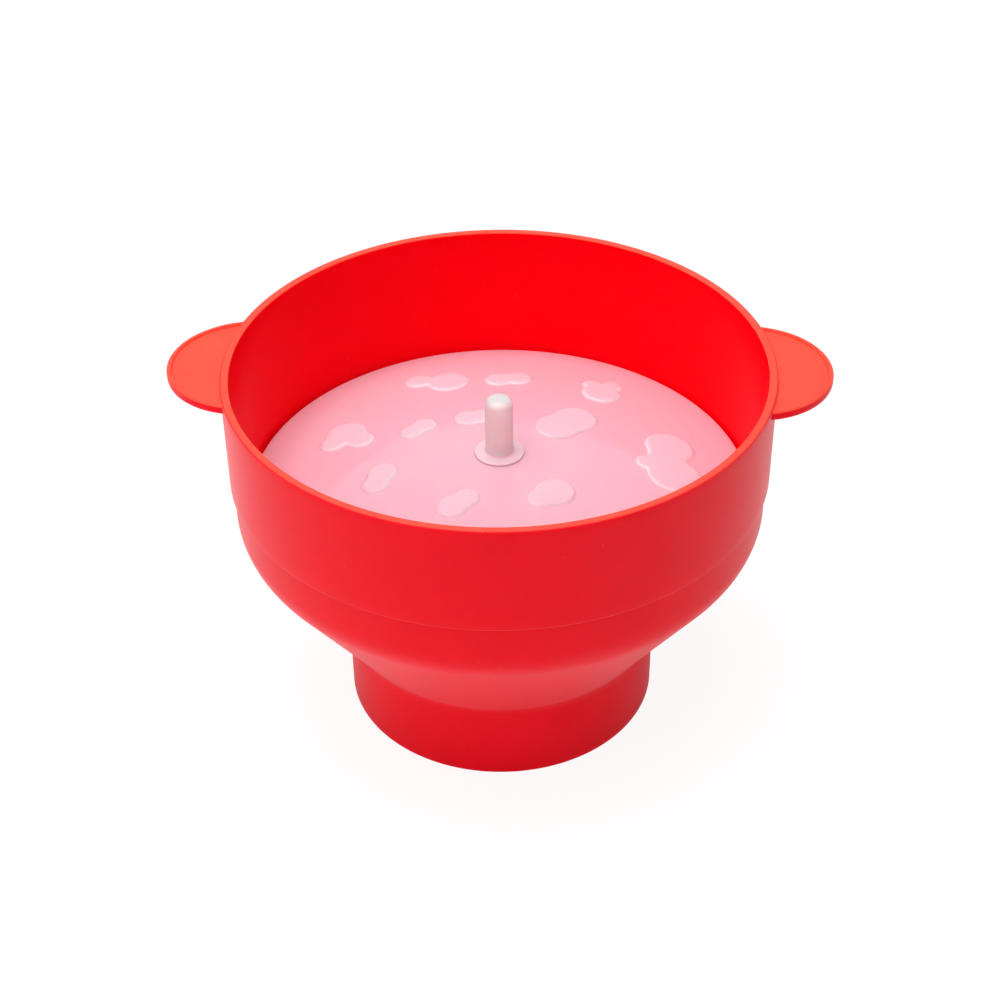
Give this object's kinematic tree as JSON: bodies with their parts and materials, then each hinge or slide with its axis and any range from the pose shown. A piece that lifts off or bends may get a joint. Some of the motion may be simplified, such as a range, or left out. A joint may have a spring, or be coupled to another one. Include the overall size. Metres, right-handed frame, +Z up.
{
  "type": "collapsible popcorn bowl",
  "caption": "Collapsible silicone bowl for popping corn in a microwave oven: foot, folding cone, tall rim band, flat ear handles and a drop-in domed lid with a peg.",
  "frame": {"origin": "centre of the foot's underside, on the table", "axes": "+Z up along the bowl's axis, +X towards one ear handle"},
  "size_m": [0.2402, 0.2, 0.1465],
  "materials": {
    "bowl_silicone": "satin",
    "lid_silicone": "satin"
  },
  "bodies": {
    "base": {"foot_cup": "bowl_silicone"},
    "fold_1": {"fold_ring_1": "bowl_silicone"},
    "fold_2": {"fold_ring_2": "bowl_silicone"},
    "fold_3": {"fold_ring_3": "bowl_silicone"},
    "fold_4": {"fold_ring_4": "bowl_silicone"},
    "fold_5": {"fold_ring_5": "bowl_silicone"},
    "rim": {"rim_band": "bowl_silicone", "shoulder": "bowl_silicone", "handle_left": "bowl_silicone", "handle_right": "bowl_silicone"},
    "lid": {"lid_disc": "lid_silicone", "lid_knob": "lid_silicone"}
  },
  "joints": [
    {"name": "bowl_collapse", "type": "slide", "parent": "base", "child": "rim", "axis": [0, 0, -1], "range_m": [0, 0.066]},
    {"name": "fold_1_drop", "type": "slide", "parent": "base", "child": "fold_1", "axis": [0, 0, -1], "range_m": [0, 0.0066]},
    {"name": "fold_2_drop", "type": "slide", "parent": "base", "child": "fold_2", "axis": [0, 0, -1], "range_m": [0, 0.0198]},
    {"name": "fold_3_drop", "type": "slide", "parent": "base", "child": "fold_3", "axis": [0, 0, -1], "range_m": [0, 0.033]},
    {"name": "fold_4_drop", "type": "slide", "parent": "base", "child": "fold_4", "axis": [0, 0, -1], "range_m": [0, 0.0462]},
    {"name": "fold_5_drop", "type": "slide", "parent": "base", "child": "fold_5", "axis": [0, 0, -1], "range_m": [0, 0.0594]},
    {"name": "lid_lift", "type": "slide", "parent": "fold_4", "child": "lid", "axis": [0, 0, 1], "range_m": [0, 0.12]}
  ],
  "couplings": [
    {"joint": "fold_1_drop", "follows": "bowl_collapse", "ratio": 0.1},
    {"joint": "fold_2_drop", "follows": "bowl_collapse", "ratio": 0.3},
    {"joint": "fold_3_drop", "follows": "bowl_collapse", "ratio": 0.5},
    {"joint": "fold_4_drop", "follows": "bowl_collapse", "ratio": 0.7},
    {"joint": "fold_5_drop", "follows": "bowl_collapse", "ratio": 0.9}
  ]
}
